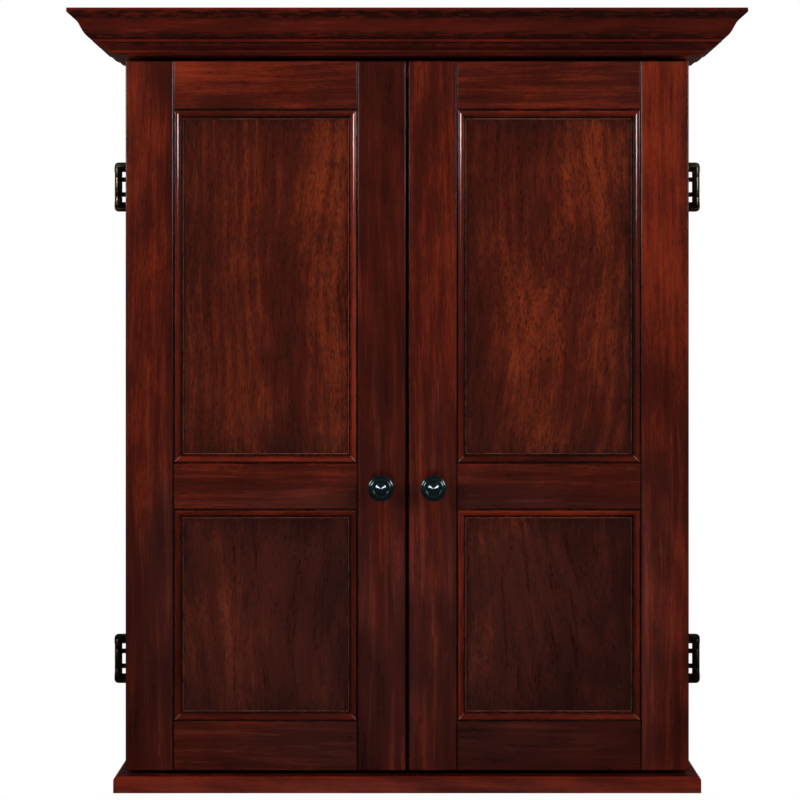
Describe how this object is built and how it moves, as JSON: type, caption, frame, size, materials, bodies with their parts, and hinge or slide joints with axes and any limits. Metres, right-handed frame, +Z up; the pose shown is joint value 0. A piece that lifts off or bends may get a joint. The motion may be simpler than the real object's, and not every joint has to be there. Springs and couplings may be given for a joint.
{
  "type": "dart board cabinet",
  "caption": "Shallow wall cabinet for a dart board: moulded crown, base board and recessed-panel doors on outboard hinges, with chalk slates and dart racks inside the doors.",
  "frame": {"origin": "on the cabinet's back face, where it lies on the wall, behind the middle of the dart board", "axes": "+Z up, +X to the right as seen from the front, +Y into the wall; the doors face -Y"},
  "size_m": [0.6926, 0.1507, 0.8068],
  "materials": {
    "mahogany_frame": "red-brown stained hardwood, satin lacquer, dark glaze in the grooves",
    "mahogany_panel": "red-brown stained veneer, satin lacquer",
    "mahogany_crown": "red-brown stained hardwood, satin lacquer",
    "mahogany_case": "red-brown stained board, satin lacquer",
    "dark_bronze": "blackened bronze plating, glossy",
    "zinc_steel": "zinc-plated steel",
    "chalk_slate": "board with matt black chalk paint",
    "brown_plastic": "moulded brown plastic"
  },
  "bodies": {
    "cabinet": {"back_panel": "mahogany_case", "left_side": "mahogany_case", "right_side": "mahogany_case", "top_board": "mahogany_case", "bottom_board": "mahogany_case", "head_rail": "mahogany_case", "top_cap": "mahogany_case", "hanging_rail": "mahogany_case", "board_batten": "mahogany_case", "crown_front": "mahogany_crown", "crown_left": "mahogany_crown", "crown_right": "mahogany_crown", "base_board": "mahogany_crown", "board_bracket": "zinc_steel", "left_upper_hinge_case_leaf": "dark_bronze", "left_upper_hinge_pin": "dark_bronze", "left_lower_hinge_case_leaf": "dark_bronze", "left_lower_hinge_pin": "dark_bronze", "left_magnet_catch": "brown_plastic", "right_upper_hinge_case_leaf": "dark_bronze", "right_upper_hinge_pin": "dark_bronze", "right_lower_hinge_case_leaf": "dark_bronze", "right_lower_hinge_pin": "dark_bronze", "right_magnet_catch": "brown_plastic"},
    "left_door": {"left_outer_stile": "mahogany_frame", "left_inner_stile": "mahogany_frame", "left_top_rail": "mahogany_frame", "left_middle_rail": "mahogany_frame", "left_bottom_rail": "mahogany_frame", "left_upper_bead": "mahogany_frame", "left_lower_bead": "mahogany_frame", "left_dart_rack": "mahogany_frame", "left_upper_panel": "mahogany_panel", "left_lower_panel": "mahogany_panel", "left_knob": "dark_bronze", "left_knob_screw": "zinc_steel", "left_scoreboard": "chalk_slate", "left_strike_plate": "zinc_steel", "left_upper_hinge_door_leaf": "dark_bronze", "left_lower_hinge_door_leaf": "dark_bronze"},
    "right_door": {"right_outer_stile": "mahogany_frame", "right_inner_stile": "mahogany_frame", "right_top_rail": "mahogany_frame", "right_middle_rail": "mahogany_frame", "right_bottom_rail": "mahogany_frame", "right_upper_bead": "mahogany_frame", "right_lower_bead": "mahogany_frame", "right_dart_rack": "mahogany_frame", "right_upper_panel": "mahogany_panel", "right_lower_panel": "mahogany_panel", "right_knob": "dark_bronze", "right_knob_screw": "zinc_steel", "right_scoreboard": "chalk_slate", "right_strike_plate": "zinc_steel", "right_upper_hinge_door_leaf": "dark_bronze", "right_lower_hinge_door_leaf": "dark_bronze"}
  },
  "joints": [
    {"name": "left_door_hinge", "type": "hinge", "parent": "cabinet", "child": "left_door", "pos_m": [-0.3029, -0.0772, 0], "axis": [0, 0, -1], "range_deg": [0, 180]},
    {"name": "right_door_hinge", "type": "hinge", "parent": "cabinet", "child": "right_door", "pos_m": [0.3029, -0.0772, 0], "axis": [0, 0, 1], "range_deg": [0, 180]}
  ]
}
